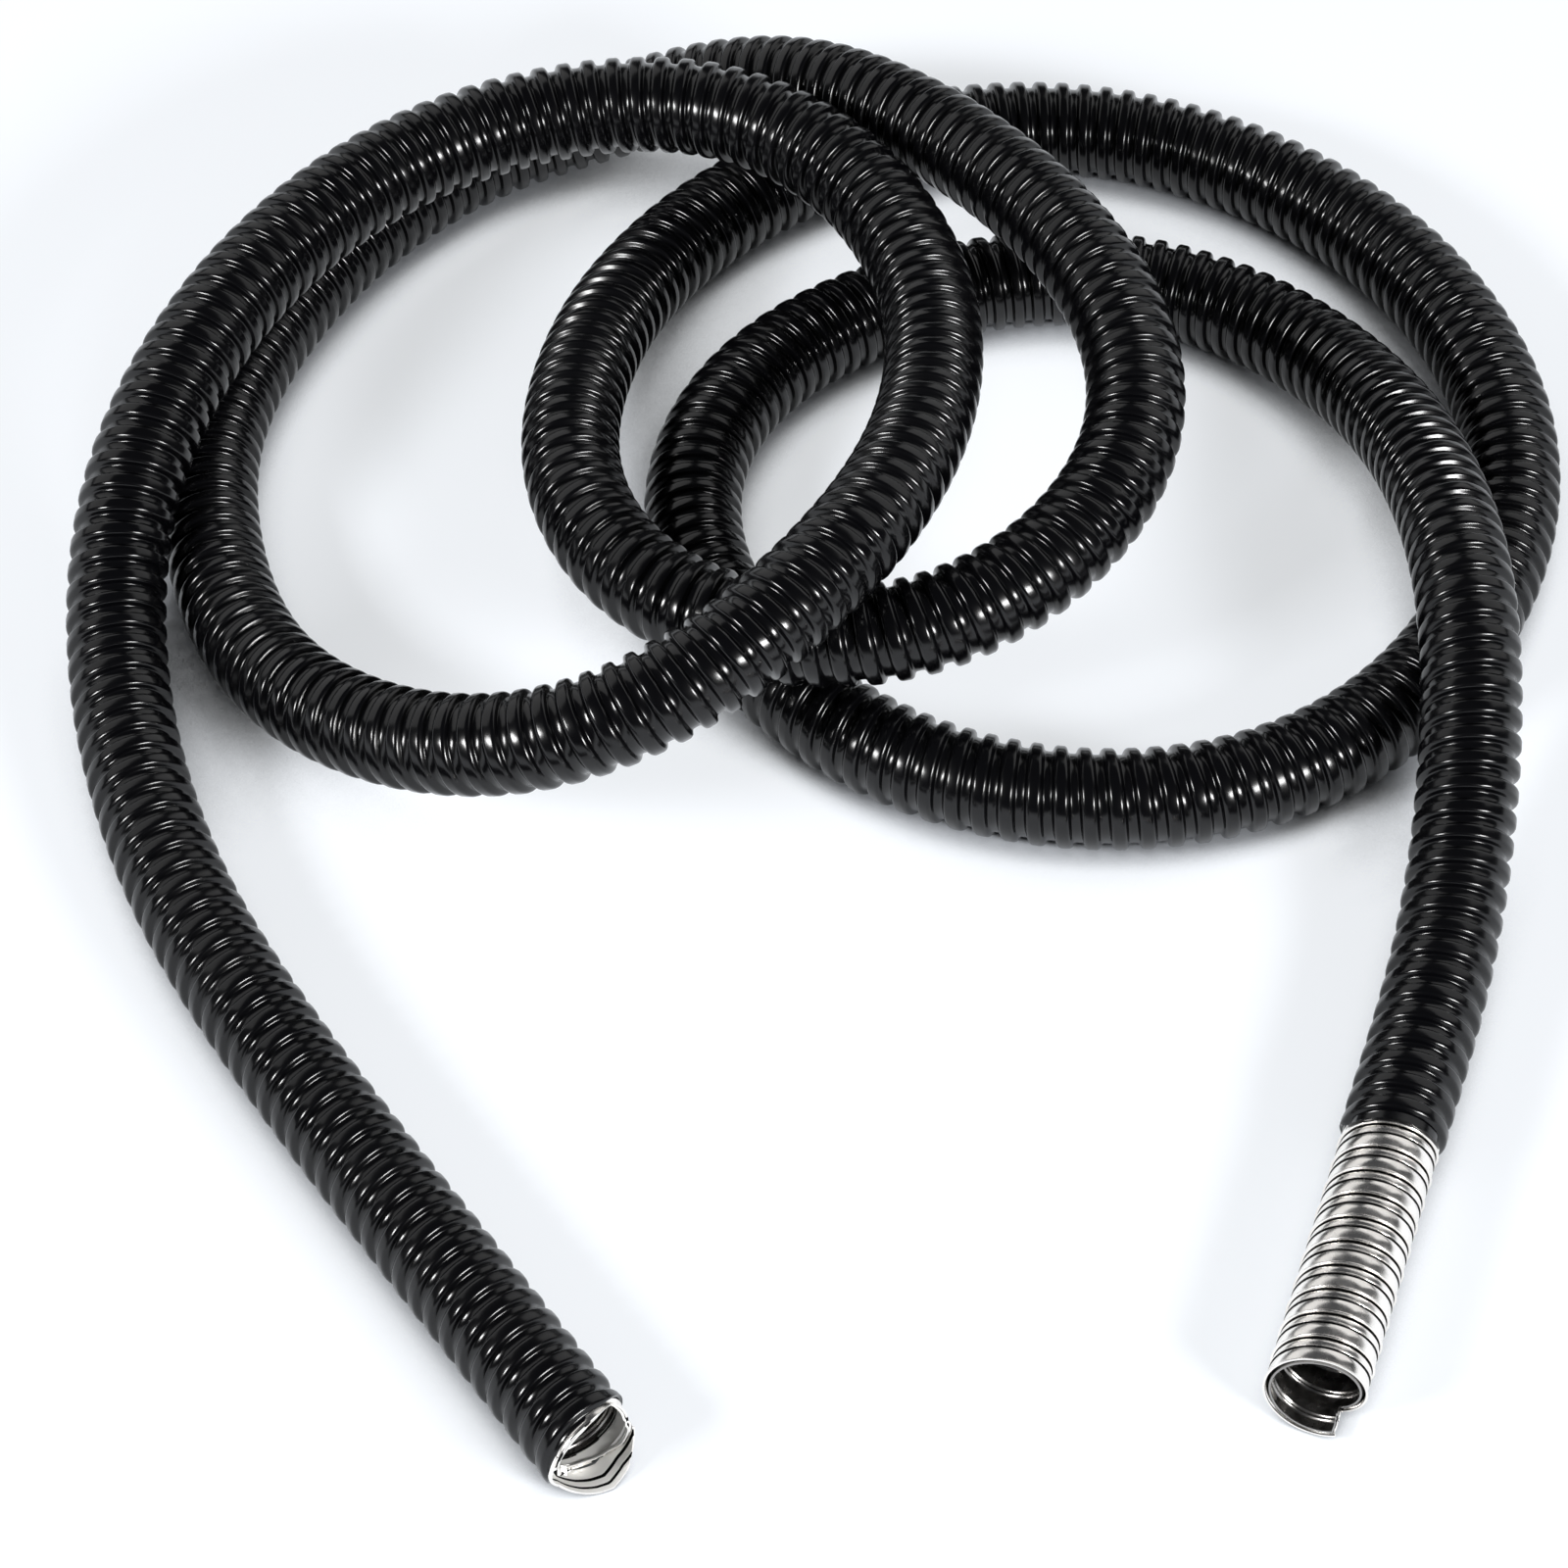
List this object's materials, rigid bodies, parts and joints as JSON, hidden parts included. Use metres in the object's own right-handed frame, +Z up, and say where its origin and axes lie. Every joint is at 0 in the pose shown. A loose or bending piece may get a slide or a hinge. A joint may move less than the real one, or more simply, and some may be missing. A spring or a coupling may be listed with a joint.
{
  "type": "flexible hose",
  "caption": "Ribbed black plastic jacket over a wound steel strip hose, lying in loose open loops, one end stripped to the bare steel",
  "frame": {"origin": "centre of the whole hose's bounding box in plan, on the floor that it lies on", "axes": "+Z up from the floor; +Y from the two cut ends towards the loops, along the longest side; +X to the right as seen from the cut ends"},
  "size_m": [0.3755, 0.4557, 0.0769],
  "materials": {
    "jacket": "glossy black soft PVC",
    "steel": "bright zinc-plated steel strip"
  },
  "bodies": {
    "coil": {"jacket_turn_1": "jacket", "strip_turn_1": "steel", "jacket_turn_2": "jacket", "strip_turn_2": "steel", "jacket_turn_3": "jacket", "strip_turn_3": "steel", "jacket_turn_4": "jacket", "strip_turn_4": "steel", "jacket_left_bend": "jacket", "strip_left_bend": "steel", "jacket_right_bend": "jacket", "strip_right_bend": "steel"},
    "left_end": {"jacket_left_tail": "jacket", "strip_left_tail": "steel", "jacket_left_end": "jacket", "strip_left_end": "steel", "strip_left_tip": "steel"},
    "right_end": {"jacket_right_end": "jacket", "strip_right_end": "steel", "strip_right_tip": "steel"}
  },
  "joints": [
    {"name": "left_end_swing", "type": "hinge", "parent": "coil", "child": "left_end", "pos_m": [-0.15975, -0.04382, 0.0125], "axis": [0, 0, 1], "range_deg": [-20, 20], "deforming": ["jacket_left_bend", "strip_left_bend"]},
    {"name": "right_end_swing", "type": "hinge", "parent": "coil", "child": "right_end", "pos_m": [0.145, -0.08231, 0.0125], "axis": [0, 0, 1], "range_deg": [-20, 20], "deforming": ["jacket_right_bend", "strip_right_bend"]}
  ]
}
